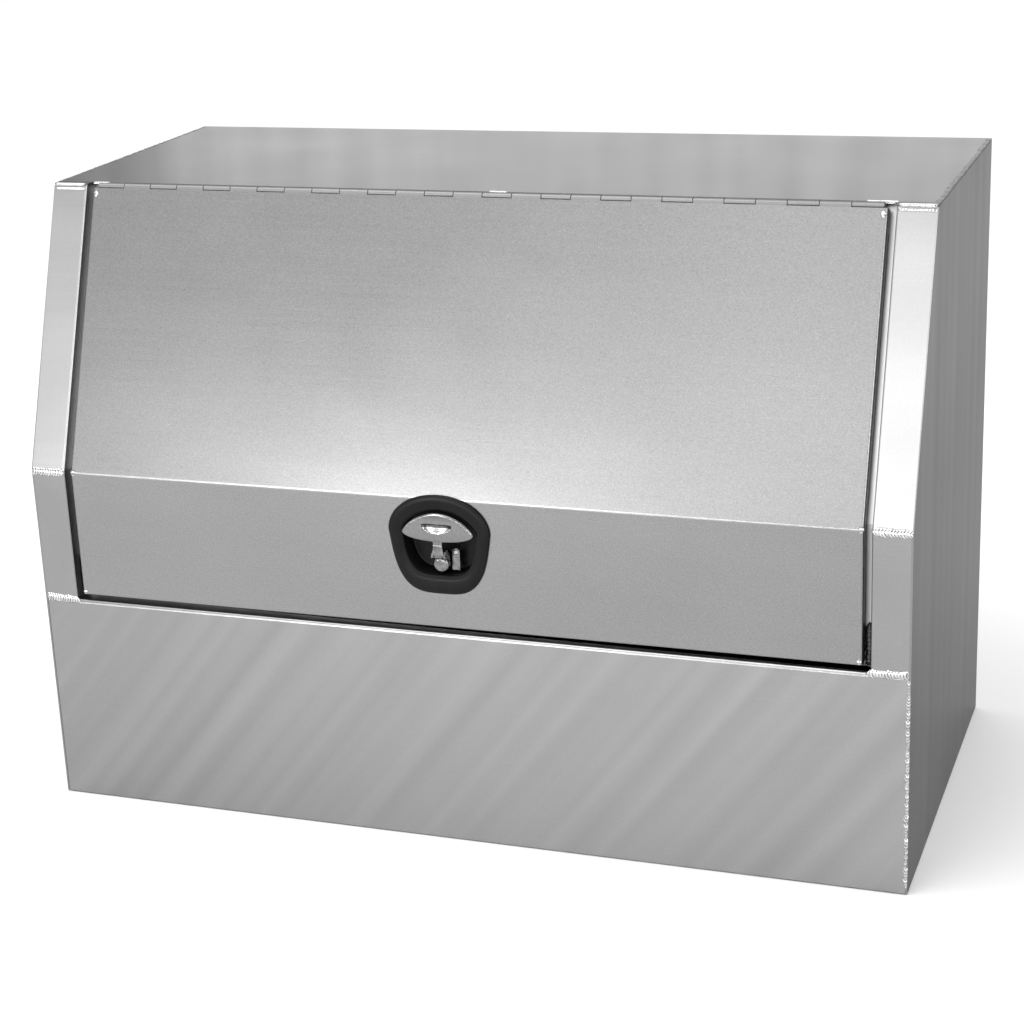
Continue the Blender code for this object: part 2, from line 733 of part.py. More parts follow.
def makeSpindle(material):
    """The latch spindle: a domed head with two ears for the handle and a threaded tail."""
    start = (SPINDLE_X, FRONT_Y - POCKET_FLOOR - GAP, SPINDLE_Z)
    profile = [
        (0.0, SPINDLE_HEAD_RADIUS), (0.0220, SPINDLE_HEAD_RADIUS), (0.0238, 0.0101),
        (0.0249, 0.0075), (0.0253, 0.0030),
    ]
    spindle = turned("latch_spindle", profile, start, (0, -1, 0), material, steps=24)
    tail = turned(
        "tail",
        [
            (-0.004, TAIL_SHOULDER), (0.0024, TAIL_SHOULDER), (0.0024, SPINDLE_RADIUS),
            (0.0215, SPINDLE_RADIUS),
        ],
        start, (0, 1, 0), material, steps=20,
    )
    join(spindle, tail)
    low = FRONT_Y - POCKET_FLOOR - 0.006
    pivotY = FRONT_Y - FOLD_PROUD
    ear = [(low, SPINDLE_Z - 0.004), (low, SPINDLE_Z + 0.010)]
    for i in range(9):
        turn = math.radians(70 + i * 27.5)
        ear.append((pivotY + EAR_RADIUS * math.cos(turn), FOLD_Z + EAR_RADIUS * math.sin(turn)))
    earTop = FOLD_Z + EAR_RADIUS + 0.001
    headTop = SPINDLE_Z + SPINDLE_HEAD_RADIUS
    for side in (-1, 1):
        edges = sorted((SPINDLE_X + side * EAR_INNER, SPINDLE_X + side * EAR_OUTER))
        join(spindle, prismX("ear", ear, *edges, material))
        shoulder = [
            (SPINDLE_X + side * EAR_TOP_HALF, earTop), (SPINDLE_X + side * 0.02, earTop),
            (SPINDLE_X + side * 0.02, headTop), (SPINDLE_X + side * (EAR_OUTER + 0.0003), headTop - 0.002),
        ]
        cut(spindle, prismY("shoulder", shoulder, pivotY - 0.02, low + 0.0001, material))
    slot = boxOutline(pivotY - 0.03, FRONT_Y - POCKET_FLOOR - 0.010, FOLD_Z - 0.0075, FOLD_Z + 0.02)
    cut(spindle, prismX("slot", slot, SPINDLE_X - EAR_INNER, SPINDLE_X + EAR_INNER, material))
    hole = circleOutline(pivotY, FOLD_Z, FOLD_HOLE_RADIUS, steps=12)
    cut(spindle, prismX("hole", hole, SPINDLE_X - 0.02, SPINDLE_X + 0.02, material))
    return spindle


def gripOutline(shrink):
    """The lens-shaped grip: a high upper arc, a flat lower one and rounded tips."""
    points = []
    steps = 16
    for i in range(2 * steps):
        turn = math.pi * i / steps
        across = math.cos(turn)
        fall = max(0.0, 1 - across * across)
        if turn < math.pi:
            height = (GRIP_RISE - shrink) * fall ** 0.75
        else:
            height = -(GRIP_DROP - shrink) * fall ** 0.45
        points.append((SPINDLE_X + (GRIP_HALF - shrink) * across, GRIP_Z + height))
    return points


def makeHandle(material):
    """The folding T-handle: a lens grip, a stem and an eye on the fold pin."""
    rings = [
        (gripOutline(0.0020), GRIP_BACK), (gripOutline(0.0), GRIP_BACK + 0.0015),
        (gripOutline(0.0), GRIP_FRONT - 0.0030), (gripOutline(0.0012), GRIP_FRONT - 0.0010),
        (gripOutline(0.0035), GRIP_FRONT),
    ]
    loops = [[(x, FRONT_Y - proud, z) for x, z in outline] for outline, proud in rings]
    handle = loft("latch_handle", loops, material, smooth=True)
    pivotY = FRONT_Y - FOLD_PROUD
    stem = [
        (pivotY - 0.0060, FOLD_Z), (FRONT_Y - STEM_FRONT, FOLD_Z + 0.012), (FRONT_Y - STEM_FRONT, GRIP_Z),
        (FRONT_Y - STEM_BACK, GRIP_Z), (FRONT_Y - 0.0018, FOLD_Z + 0.014), (pivotY + 0.0050, FOLD_Z),
    ]
    join(handle, prismX("stem", stem, SPINDLE_X - STEM_HALF, SPINDLE_X + STEM_HALF, material))
    eye = circleOutline(pivotY, FOLD_Z, EAR_RADIUS, steps=16)
    eyeHalf = STEM_HALF - 0.0001
    join(handle, prismX("eye", eye, SPINDLE_X - eyeHalf, SPINDLE_X + eyeHalf, material))
    hole = circleOutline(pivotY, FOLD_Z, FOLD_HOLE_RADIUS, steps=12)
    cut(handle, prismX("hole", hole, SPINDLE_X - 0.02, SPINDLE_X + 0.02, material))
    return handle


def makeFoldPin(material):
    start = (SPINDLE_X - FOLD_PIN_HALF, FRONT_Y - FOLD_PROUD, FOLD_Z)
    profile = [(0.0, FOLD_PIN_RADIUS), (2 * FOLD_PIN_HALF, FOLD_PIN_RADIUS)]
    return turned("fold_pin", profile, start, (1, 0, 0), material, steps=12)


def makePawl(material):
    """The flat arm behind the pocket that reaches down to the sill's lip."""
    y = FRONT_Y - POCKET_FLOOR + 0.0055
    outline = [
        (SPINDLE_X - 0.0085, PAWL_TIP_Z), (SPINDLE_X + 0.0085, PAWL_TIP_Z),
        (SPINDLE_X + 0.0125, SPINDLE_Z), (SPINDLE_X + 0.0090, SPINDLE_Z + 0.0100),
        (SPINDLE_X - 0.0090, SPINDLE_Z + 0.0100), (SPINDLE_X - 0.0125, SPINDLE_Z),
    ]
    pawl = prismY("latch_pawl", outline, y, y + 0.004, material)
    bore = circleOutline(SPINDLE_X, SPINDLE_Z, SPINDLE_BORE_RADIUS, steps=20)
    cut(pawl, prismY("bore", bore, y - 0.01, y + 0.01, material))
    return pawl


def makeWasher(name, startDeep, thickness, radius, material, steps=20):
    y = FRONT_Y - POCKET_FLOOR + startDeep
    outline = circleOutline(SPINDLE_X, SPINDLE_Z, radius, steps)
    washer = prismY(name, outline, y, y + thickness, material)
    bore = circleOutline(SPINDLE_X, SPINDLE_Z, SPINDLE_BORE_RADIUS, steps=20)
    cut(washer, prismY("bore", bore, y - 0.02, y + 0.02, material))
    return washer


def makeLockBarrel(material):
    y = FRONT_Y - POCKET_FLOOR - GAP
    outline = circleOutline(LOCK_X, LOCK_Z, BARREL_RADIUS, 20)
    barrel = prismY("lock_barrel", outline, y - BARREL_LONG, y, material)
    bore = circleOutline(LOCK_X, LOCK_Z, BARREL_BORE_RADIUS, 16)
    cut(barrel, prismY("bore", bore, y - 0.03, y - BARREL_FLOOR, material))
    return barrel


def makeLockPlug(material):
    """The part that the key turns, with its keyway."""
    y = FRONT_Y - POCKET_FLOOR - GAP - BARREL_FLOOR - GAP
    plug = prismY("lock_plug", circleOutline(LOCK_X, LOCK_Z, PLUG_RADIUS, 16), y - PLUG_LONG, y, material)
    slot = boxOutline(
        LOCK_X - KEYWAY_HALF_WIDTH, LOCK_X + KEYWAY_HALF_WIDTH,
        LOCK_Z - KEYWAY_HALF_HEIGHT, LOCK_Z + KEYWAY_HALF_HEIGHT,
    )
    cut(plug, prismY("slot", slot, y - 0.02, y - KEYWAY_START, material))
    return plug


def makeKeyCover(material):
    """The tab that hangs over the keyhole and swings aside on its rivet."""
    low, high = FRONT_Y - COVER_PROUD - COVER_THICK, FRONT_Y - COVER_PROUD
    outline = [(LOCK_X - COVER_HALF, COVER_BOTTOM_Z), (LOCK_X + COVER_HALF, COVER_BOTTOM_Z)]
    for i in range(9):
        turn = math.pi * i / 8
        across, up = COVER_HALF * math.cos(turn), COVER_HALF * math.sin(turn)
        outline.append((LOCK_X + across, COVER_PIVOT_Z + up))
    cover = prismY("key_cover", outline, low, high, material)
    hole = circleOutline(LOCK_X, COVER_PIVOT_Z, COVER_HOLE_RADIUS, 12)
    cut(cover, prismY("hole", hole, low - 0.01, high + 0.01, material))
    return cover


def makeCoverRivet(material):
    start = (LOCK_X, FRONT_Y - POCKET_FLOOR - GAP, COVER_PIVOT_Z)
    front = COVER_PROUD - POCKET_FLOOR
    profile = [
        (0.0, RIVET_SHOULDER_RADIUS), (front - 0.0009, RIVET_SHOULDER_RADIUS),
        (front - 0.0009, RIVET_NECK_RADIUS), (front + COVER_THICK + 0.0002, RIVET_NECK_RADIUS),
        (front + COVER_THICK + 0.0002, 0.0034), (front + COVER_THICK + 0.0010, 0.0022),
    ]
    return turned("cover_rivet", profile, start, (0, -1, 0), material, steps=12)


# ---------------------------------------------------------------- the whole box

def clearScene():
    for leftover in list(bpy.data.objects):
        bpy.data.objects.remove(leftover)


def makeBody(sheet, steel, rubber):
    makeBasePanel(sheet)
    makeBackPanel(sheet)
    makeTopPanel(sheet)
    makeFrontPanel(sheet)
    makeHeaderRail(sheet)
    makeDoorSeal(rubber)
    bodyDeep = HINGE_DEEP + KNUCKLE_RADIUS - LEAF_THICKNESS
    makeHingeLeaf("hinge_body_leaf", bodyDeep, 1, 0, sheet)
    makeHingePin(steel)
    for word, side in (("left", -1), ("right", 1)):
        makeEndPanel(f"end_panel_{word}", side, sheet)
        makeBodyBracket(f"body_bracket_{word}", side, steel)
        makeStud(f"body_stud_{word}", side, BODY_END, steel)


def makeDoor(sheet, steel, rubber, moulding):
    pieces = [makeDoorSkin(sheet), makeSealRail(sheet)]
    doorDeep = HINGE_DEEP - KNUCKLE_RADIUS
    pieces.append(makeHingeLeaf("hinge_door_leaf", doorDeep, -1, 1, sheet))
    for word, side in (("left", -1), ("right", 1)):
        pieces.append(makeDoorBracket(f"door_bracket_{word}", side, steel))
        pieces.append(makeStud(f"door_stud_{word}", side, DOOR_END, steel))
    pieces.append(makeDish(moulding))
    pieces.append(makeRing(
        "latch_gasket", bezelOutline(0.0015), pocketOutline(POCKET_WALL + 0.0008),
        FRONT_Y - 0.0013, FRONT_Y - GAP, rubber,
    ))
    pieces.append(makeRing(
        "latch_clamp_plate", latchOutline(CLAMP_HALF, CLAMP_RISE, BEZEL_DROP, BEZEL_TAPER),
        pocketOutline(POCKET_WALL + 0.0008), FRONT_Y + SHEET + GAP,
        FRONT_Y + SHEET + GAP + 0.002, steel,
    ))
    for number, (across, up) in enumerate(SCREW_SPOTS, 1):
        pieces.append(makeScrew(number, across, up, steel))
    return pieces


def makeStrut(word, side, tube, polished, black, door):
    cylinderPivot = pivotAt(f"strut_cylinder_pivot_{word}", (side * STRUT_X, *BODY_END))
    carry(cylinderPivot, [
        makeCylinder(f"strut_cylinder_{word}", side, tube),
        makeSocket(f"body_socket_{word}", side, BODY_END, STRUT_RUN, black),
    ])
    rodPivot = pivotAt(f"strut_rod_pivot_{word}", (side * STRUT_X, *DOOR_END))
    carry(rodPivot, [
        makeRod(f"strut_rod_{word}", side, polished),
        makeSocket(f"door_socket_{word}", side, DOOR_END, -STRUT_RUN, black),
    ])
    carry(door, [rodPivot])


def makeLatch(door, chrome, steel):
    spindlePivot = pivotAt("spindle_pivot", (SPINDLE_X, FRONT_Y, SPINDLE_Z))
    carry(spindlePivot, [
        makeSpindle(chrome),
        makeFoldPin(steel),
        makeWasher("spindle_spacer", 0.0026, 0.0026, 0.0105, steel),
        makePawl(steel),
        makeWasher("spindle_washer", 0.0098, 0.0015, 0.0110, steel),
        makeWasher("spindle_nut", 0.0116, 0.0080, 0.0100, steel, steps=6),
    ])
    handlePivot = pivotAt("handle_pivot", (SPINDLE_X, FRONT_Y - FOLD_PROUD, FOLD_Z))
    carry(handlePivot, [makeHandle(chrome)])
    carry(spindlePivot, [handlePivot])
    coverPivot = pivotAt("key_cover_pivot", (LOCK_X, FRONT_Y - COVER_PROUD, COVER_PIVOT_Z))
    carry(coverPivot, [makeKeyCover(chrome)])
    plugPivot = pivotAt("lock_plug_pivot", (LOCK_X, FRONT_Y - COVER_PROUD, LOCK_Z))
    carry(plugPivot, [makeLockPlug(steel)])
    carry(door, [spindlePivot, coverPivot, plugPivot, makeLockBarrel(chrome), makeCoverRivet(steel)])


def main():
    clearScene()
    sheet = makeMaterial("mill_aluminium", (0.60, 0.60, 0.61), 0.42, 1.0)
    steel = makeMaterial("zinc_steel", (0.52, 0.52, 0.53), 0.40, 1.0)
    polished = makeMaterial("polished_rod", (0.70, 0.70, 0.72), 0.12, 1.0)
    chrome = makeMaterial("chrome", (0.62, 0.62, 0.63), 0.15, 1.0)
    moulding = makeMaterial("black_moulding", (0.018, 0.018, 0.018), 0.38, 0.0)
    rubber = makeMaterial("seal_rubber", (0.020, 0.020, 0.021), 0.75, 0.0)
    tube = makeMaterial("strut_black", (0.015, 0.015, 0.016), 0.30, 0.0)
    makeBody(sheet, steel, rubber)
    door = pivotAt("door_pivot", (0.0, HINGE_Y, HINGE_Z))
    carry(door, makeDoor(sheet, steel, rubber, moulding))
    makeLatch(door, chrome, steel)
    for word, side in (("left", -1), ("right", 1)):
        makeStrut(word, side, tube, polished, moulding, door)


main()
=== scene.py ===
import json
import math
import random

import bmesh
import bpy
from mathutils import Matrix, Vector


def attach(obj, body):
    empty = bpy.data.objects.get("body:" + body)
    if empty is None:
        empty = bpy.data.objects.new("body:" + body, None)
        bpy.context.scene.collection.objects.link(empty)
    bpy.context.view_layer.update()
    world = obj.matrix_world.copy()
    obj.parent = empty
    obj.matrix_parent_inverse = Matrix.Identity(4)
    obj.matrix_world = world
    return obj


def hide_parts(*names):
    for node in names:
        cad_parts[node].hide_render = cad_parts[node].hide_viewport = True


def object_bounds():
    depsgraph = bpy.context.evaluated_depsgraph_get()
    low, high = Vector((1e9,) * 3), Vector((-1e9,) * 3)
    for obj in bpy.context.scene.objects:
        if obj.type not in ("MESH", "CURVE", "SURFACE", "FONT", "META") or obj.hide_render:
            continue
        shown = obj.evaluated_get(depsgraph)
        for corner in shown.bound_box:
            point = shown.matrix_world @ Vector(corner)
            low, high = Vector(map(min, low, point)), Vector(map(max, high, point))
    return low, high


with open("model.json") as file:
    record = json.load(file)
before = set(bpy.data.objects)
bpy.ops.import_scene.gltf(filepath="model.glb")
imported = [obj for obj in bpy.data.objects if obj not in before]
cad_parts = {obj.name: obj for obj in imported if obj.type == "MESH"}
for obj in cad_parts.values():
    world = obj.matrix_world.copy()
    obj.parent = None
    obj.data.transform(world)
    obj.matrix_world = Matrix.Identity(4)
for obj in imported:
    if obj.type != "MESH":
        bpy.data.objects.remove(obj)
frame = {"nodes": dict(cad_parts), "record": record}  # everything below is in metres, in the same frame as the solids
cadLow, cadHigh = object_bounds()

# faces and edges of the box that the looks are laid out on
box = {
    "half": 0.600, "front": -0.300, "top": 0.850, "topFront": -0.160, "roofFront": -0.1462, "back": 0.300,
    "breakZ": 0.482, "sillZ": 0.297, "doorFootZ": 0.3062, "strip": 0.050, "doorHalf": 0.540,
    "gauge": 0.0025, "bend": 0.0022, "gapDeep": 0.0215,
}
slopeRun = Vector((0.0, box["topFront"] - box["front"], box["top"] - box["breakZ"])).normalized()
slopeOut = Vector((0.0, -slopeRun.z, slopeRun.y))


# a socket of a material's nodes that sums can be written with
class Wire:
    def __init__(self, tree, socket=None):
        self.tree = tree
        self.socket = socket

    # adds any node: settings go in first, then the values or wires of its sockets
    def node(self, kind, settings=None, sockets=None, out=0):
        made = self.tree.nodes.new(kind)
        for name, value in (settings or {}).items():
            setattr(made, name, value)
        for name, value in (sockets or {}).items():
            if isinstance(value, Wire):
                self.tree.links.new(value.socket, made.inputs[name])
            else:
                made.inputs[name].default_value = value
        return Wire(self.tree, made.outputs[out])

    def maths(self, operation, first, second):
        return self.node("ShaderNodeMath", {"operation": operation}, {0: first, 1: second})

    def __add__(self, other):
        return self.maths("ADD", self, other)

    def __radd__(self, other):
        return self.maths("ADD", other, self)

    def __sub__(self, other):
        return self.maths("SUBTRACT", self, other)

    def __rsub__(self, other):
        return self.maths("SUBTRACT", other, self)

    def __mul__(self, other):
        return self.maths("MULTIPLY", self, other)

    def __rmul__(self, other):
        return self.maths("MULTIPLY", other, self)

    def __truediv__(self, other):
        return self.maths("DIVIDE", self, other)

    def __gt__(self, other):
        return self.maths("GREATER_THAN", self, other)

    def __lt__(self, other):
        return self.maths("LESS_THAN", self, other)

    # the vector multiplied axis by axis
    def stretched(self, scale):
        return self.node("ShaderNodeVectorMath", {"operation": "MULTIPLY"}, {0: self, 1: scale})

    # the number without its sign
    def size(self):
        return self.node("ShaderNodeMath", {"operation": "ABSOLUTE"}, {0: self})

    # how far along a direction the vector reaches
    def along(self, direction):
        return self.node(
            "ShaderNodeVectorMath", {"operation": "DOT_PRODUCT"}, {0: self, 1: direction}, "Value"
        )

    # noise about 0.5, at so many features a metre
    def noise(self, scale, detail=2.0, rough=0.5):
        return self.node(
            "ShaderNodeTexNoise", {}, {"Vector": self, "Scale": scale, "Detail": detail, "Roughness": rough}
        )

    # 0 below the first number, 1 above the second, smooth between
    def ramp(self, low, high):
        return self.node(
            "ShaderNodeMapRange", {"interpolation_type": "SMOOTHSTEP"},
            {"Value": self, "From Min": low, "From Max": high},
        )

    # 0 becomes the first colour and 1 the second
    def colours(self, dark, light):
        return self.node(
            "ShaderNodeMix", {"data_type": "RGBA"}, {0: self, 6: (*dark, 1.0), 7: (*light, 1.0)}, 2
        )

    def bump(self, strength, distance):
        return self.node(
            "ShaderNodeBump", {}, {"Strength": strength, "Distance": distance, "Height": self}
        )


# a Principled material: constants go straight on its sockets, wires are linked
def finish(name, paint):
    material = bpy.data.materials.new(name)
    material.use_nodes = True
    tree = material.node_tree
    shader = tree.nodes["Principled BSDF"]
    place = Wire(tree).node("ShaderNodeTexCoord", out="Object")
    for socket, value in paint(place).items():
        if isinstance(value, Wire):
            tree.links.new(value.socket, shader.inputs[socket])
        else:
            shader.inputs[socket].default_value = value
    return material


def grey(value):
    return (value, value, value)


# mill-finish sheet: rolling streaks along X, speckle, soft bands that are partly the sheet's own tone and partly
# painted reflection, a few fine scratches, and a look's painted light and shade
def sheetPaint(look):
    def paint(place):
        streaks = place.stretched((3.0, 520.0, 520.0)).noise(1.0, 3.0, 0.65)
        speckle = place.noise(look["speckleScale"], 2.0, 0.7)
        fine = place.noise(look["speckleScale"] * 2.7, 1.0, 0.5)
        # where a look's fan centre lies below the camera, as the roof's does, its bands are painted reflection
        if "fan" in look:  # the bands spread from a point instead of lying side by side
            centreX, centreY = look["fan"]
            across = (place.along((1.0, 0.0, 0.0)) - centreX) / (place.along((0.0, 1.0, 0.0)) - centreY)
        else:
            across = place.along(look["bandAlong"])
        down = place.along(look["bandAcross"])
        bandsAndReflection = place.node(
            "ShaderNodeTexNoise", {"noise_dimensions": "2D"},
            {
                "Vector": place.node("ShaderNodeCombineXYZ", {}, {0: across * look["bandScale"], 1: down}),
                "Scale": 1.0, "Detail": 1.5, "Roughness": 0.4,
            },
        )
        clouds = place.noise(4.5, 2.0, 0.5)
        scratchLine = place.stretched((8.0, 900.0, 260.0)).noise(1.0, 1.0, 0.4).ramp(0.70, 0.74)
        scratches = scratchLine * place.noise(9.0, 1.0).ramp(0.55, 0.68)
        tone = 0.5 + (speckle - 0.5) * look["speckle"] + (fine - 0.5) * look["speckle"] * 0.7
        tone = tone + (bandsAndReflection - 0.5) * look["bandsAndReflection"] + (clouds - 0.5) * look["clouds"]
        tone = tone + (streaks - 0.5) * look["streaks"] + scratches * 0.05
        # a look's lift adds painted light and shade to the tone
        if "lift" in look:
            tone = tone + look["lift"](place)
        base = look["base"]
        height = (streaks - 0.5) * 0.8 + (speckle - 0.5) * look["grit"] + scratches * 0.15
        rough = look["rough"] + (clouds - 0.5) * 0.10 + (streaks - 0.5) * 0.08 - scratches * 0.03
        return {
            "Base Color": tone.colours(grey(base * 0.55), grey(base * 1.45)),
            "Metallic": 1.0,
            "Roughness": rough,
            "Specular Tint": (*grey(look["edge"]), 1.0),
            "Normal": height.bump(1.0, look["depth"]),
        }
    return paint


plainSheet = {
    "base": 0.285, "rough": 0.30, "edge": 0.42, "speckleScale": 560.0, "speckle": 0.85, "bandsAndReflection": 0.05,
    "clouds": 0.05, "streaks": 0.05, "grit": 0.9, "depth": 0.00005,
    "bandAlong": (0.1, 0.0, 1.0), "bandAcross": (1.0, 0.0, 0.0), "bandScale": 22.0,
}


# painted shade darkens the door's face near its top and below the break
def doorPaintedShade(place):
    height = place.along((0.0, 0.0, 1.0))
    return (height < box["breakZ"] - 0.002) * -0.14 - height.ramp(0.55, 0.80) * 0.12


doorSheet = dict(plainSheet, lift=doorPaintedShade)


# the roof's front edge is cut along the hinge; painted shade darkens that edge where it meets the hinge groove
def roofEdgePaintedShade(place):
    return -0.9 * (place.along((0.0, 1.0, 0.0)) < box["roofFront"])


roofSheet = dict(
    plainSheet, base=0.265, speckle=0.45, bandsAndReflection=0.45, grit=0.5, fan=(1.0, -2.85), lift=roofEdgePaintedShade,
    bandAcross=(0.0, 0.8, 0.0), bandScale=62.0, depth=0.00003,
)


# painted shade darkens the front panel towards its left end
def frontPaintedShade(place):
    return place.along((1.0, 0.0, 0.0)).ramp(-box["half"], 0.10) * 0.14 - 0.14


frontSheet = dict(
    plainSheet, base=0.305, speckle=0.30, bandsAndReflection=0.30, grit=0.3, bandAlong=(0.78, 0.0, -0.62),
    bandAcross=(0.5, 0.0, 0.6), bandScale=36.0, depth=0.00003, rough=0.32, lift=frontPaintedShade,
)
innerSheet = dict(plainSheet, speckle=0.40, grit=0.5, depth=0.00003)


# how the end's sheet is toned from place to place, all of it painted light and shade: the end wall darkens downwards,
# the strips on
#  the slope carry a painted highlight that grows lower down and on the right, the bend below them is darkened, and
#  the inner returns in the door gap are brightened
def endPaintedLight(place):
    height = place.along((0.0, 0.0, 1.0))
    side = place.along((1.0, 0.0, 0.0))
    reach = side.size()
    isWall = reach > box["half"] - 0.0014
    # the inner returns in the door gap, brightened with painted light
    isInnerReturn = reach < box["half"] - box["strip"] + 0.0004
    onSlope = height > box["breakZ"]
    atFront = place.along((0.0, 1.0, 0.0)) < box["front"] + box["gauge"]
    # painted shade on the bend between the end wall and the strip below the slope
    isBend = (reach > box["half"] - 0.003) * atFront * (1.0 - onSlope)
    # painted highlight on the slope strips, stronger lower down and on the right
    paintedHighlight = (1.0 - height.ramp(0.50, 0.84)) * (0.27 + (side > 0.0) * 0.16)
    strip = onSlope * (0.27 + paintedHighlight) - 0.36 + isInnerReturn * 0.35
    # painted shade darkens the end wall downwards
    return (1.0 - isWall) * strip + isWall * (height.ramp(0.45, 0.80) * 0.20 - 0.38) - isBend * 0.45


endSheet = dict(
    plainSheet, base=0.42, speckle=0.26, bandsAndReflection=0.34, clouds=0.30, grit=0.35, depth=0.00003, rough=0.31,
    lift=endPaintedLight, bandAlong=(0.0, 1.0, 0.0), bandAcross=(0.0, 0.0, 0.4), bandScale=26.0,
)
hingeSheet = dict(plainSheet, base=0.22, rough=0.50, speckle=0.3, bandsAndReflection=0.0, grit=0.2, depth=0.00002)


# bright zinc plate with a faint spangle
def zincPaint(place):
    spangle = place.noise(420.0, 2.0, 0.6)
    cloud = place.noise(60.0, 2.0, 0.5)
    return {
        "Base Color": (0.5 + (spangle - 0.5) * 0.3 + (cloud - 0.5) * 0.3).colours(grey(0.40), grey(0.62)),
        "Metallic": 1.0,
        "Roughness": 0.32 + (cloud - 0.5) * 0.25,
        "Normal": spangle.bump(0.4, 0.00002),
    }


# chrome that has lost its mirror
def chromePaint(place):
    haze = place.noise(140.0, 3.0, 0.6)
    cast = place.noise(900.0, 1.0, 0.5)
    return {
        "Base Color": (0.5 + (haze - 0.5) * 1.6).colours(grey(0.08), grey(0.30)),
        "Metallic": 1.0,
        "Roughness": 0.16 + (haze - 0.5) * 0.14,
        "Normal": cast.bump(0.25, 0.00001),
    }


# a polished rod with fine drawing marks round it
def rodPaint(place):
    draw = place.stretched((900.0, 30.0, 30.0)).noise(1.0, 2.0)
    return {
        "Base Color": draw.colours(grey(0.62), grey(0.74)),
        "Metallic": 1.0,
        "Roughness": 0.08 + draw * 0.08,
        "Normal": draw.bump(0.2, 0.000005),
    }


# painted highlight on the ripples' crests and painted shade in the creases between them, with random soot
def weldPaint(place):
    skin = place.noise(800.0, 2.0, 0.6)
    soot = place.noise(120.0, 2.0, 0.6)
    crest = place.node("ShaderNodeAttribute", {"attribute_name": "crest"}, out="Fac")
    return {
        "Base Color": (crest * 0.9 + (soot - 0.5) * 0.7).colours(grey(0.02), grey(0.80)),
        "Metallic": 1.0,
        "Roughness": 0.20 + (skin - 0.5) * 0.16,
        "Normal": skin.bump(0.5, 0.00004),
    }


# weld metal that was ground back and has gone dull
def groundWeldPaint(place):
    grit = place.noise(500.0, 3.0, 0.7)
    return {
        "Base Color": grit.colours(grey(0.02), grey(0.20)),
        "Metallic": 1.0,
        "Roughness": 0.50 + (grit - 0.5) * 0.3,
        "Normal": grit.bump(0.8, 0.00015),
    }


# black moulding with a fine leather grain
def mouldingPaint(place):
    leather = place.node("ShaderNodeTexVoronoi", {}, {"Vector": place, "Scale": 1500.0}, "Distance")
    wear = place.noise(55.0, 3.0, 0.55)
    return {
        "Base Color": (wear * 0.8).colours(grey(0.004), grey(0.010)),
        "Roughness": 0.33 + (wear - 0.5) * 0.16 + leather * 0.04,
        "Specular IOR Level": 0.14,
        "Normal": leather.bump(0.25, 0.00004),
    }


# sponge rubber with some dust on it
def rubberPaint(place):
    pores = place.noise(1300.0, 2.0, 0.7)
    dust = place.noise(35.0, 3.0, 0.6)
    return {
        "Base Color": dust.colours((0.010, 0.010, 0.010), (0.032, 0.032, 0.033)),
        "Roughness": 0.72 + (pores - 0.5) * 0.3,
        "Normal": pores.bump(0.6, 0.0001),
    }


# the black lacquer of the struts, rubbed in places
def strutPaint(place):
    peel = place.noise(260.0, 1.0, 0.4)
    rub = place.noise(70.0, 3.0, 0.6)
    return {
        "Base Color": rub.colours((0.008, 0.008, 0.008), (0.022, 0.022, 0.023)),
        "Roughness": 0.30 + (rub - 0.5) * 0.2,
        "Coat Weight": 0.35,
        "Coat Roughness": 0.12,
        "Normal": peel.bump(0.15, 0.00004),
    }


finishes = {
    "door": finish("sheetDoor", sheetPaint(doorSheet)),
    "roof": finish("sheetRoof", sheetPaint(roofSheet)),
    "front": finish("sheetFront", sheetPaint(frontSheet)),
    "end": finish("sheetEnd", sheetPaint(endSheet)),
    "inner": finish("sheetInner", sheetPaint(innerSheet)),
    "hinge": finish("sheetHinge", sheetPaint(hingeSheet)),
    "zinc": finish("zincPlate", zincPaint),
    "chrome": finish("satinChrome", chromePaint),
    "rod": finish("hardChromeRod", rodPaint),
    "weld": finish("weldMetal", weldPaint),
    "ground": finish("groundWeld", groundWeldPaint),
    "moulding": finish("blackMoulding", mouldingPaint),
    "rubber": finish("spongeRubber", rubberPaint),
    "strut": finish("strutBlack", strutPaint),
}
print("mixed", len(finishes), "finishes")


# puts a mesh in the scene as a piece of one body
def newPiece(name, mesh, material, body, replaces=()):
    mesh.materials.clear()
    mesh.materials.append(material)
    piece = bpy.data.objects.new(name, mesh)
    bpy.context.scene.collection.objects.link(piece)
    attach(piece, body)
    if replaces:
        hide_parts(*replaces)
    return piece


# smooth shading everywhere but over edges sharper than the angle
def shadedMesh(builder, name, sharpDeg=35.0):
    bmesh.ops.recalc_face_normals(builder, faces=builder.faces)
    mesh = bpy.data.meshes.new(name)
    builder.to_mesh(mesh)
    builder.free()
    mesh.shade_smooth()
    mesh.set_sharp_from_angle(angle=math.radians(sharpDeg))
    return mesh


def addModifier(piece, kind, **settings):
    modifier = piece.modifiers.new(kind.title(), kind)
    for name, value in settings.items():
        setattr(modifier, name, value)


# rings of points skinned into a closed solid, with flat ends
def skinRings(name, rings, sharpDeg=35.0):
    builder = bmesh.new()
    loops = [[builder.verts.new(point) for point in ring] for ring in rings]
    for loop, following in zip(loops, loops[1:]):
        for i in range(len(loop)):
            j = (i + 1) % len(loop)
            builder.faces.new((loop[i], loop[j], following[j], following[i]))
    builder.faces.new(loops[0])
    builder.faces.new(list(reversed(loops[-1])))
    return shadedMesh(builder, name, sharpDeg)


# a smooth curve from q to r, on which p is the number before them and s the one after
def onCurve(p, q, r, s, t):
    return (
        2 * q + (r - p) * t + (2 * p - 5 * q + 4 * r - s) * t * t + (3 * q - p - 3 * r + s) * t ** 3
    ) / 2


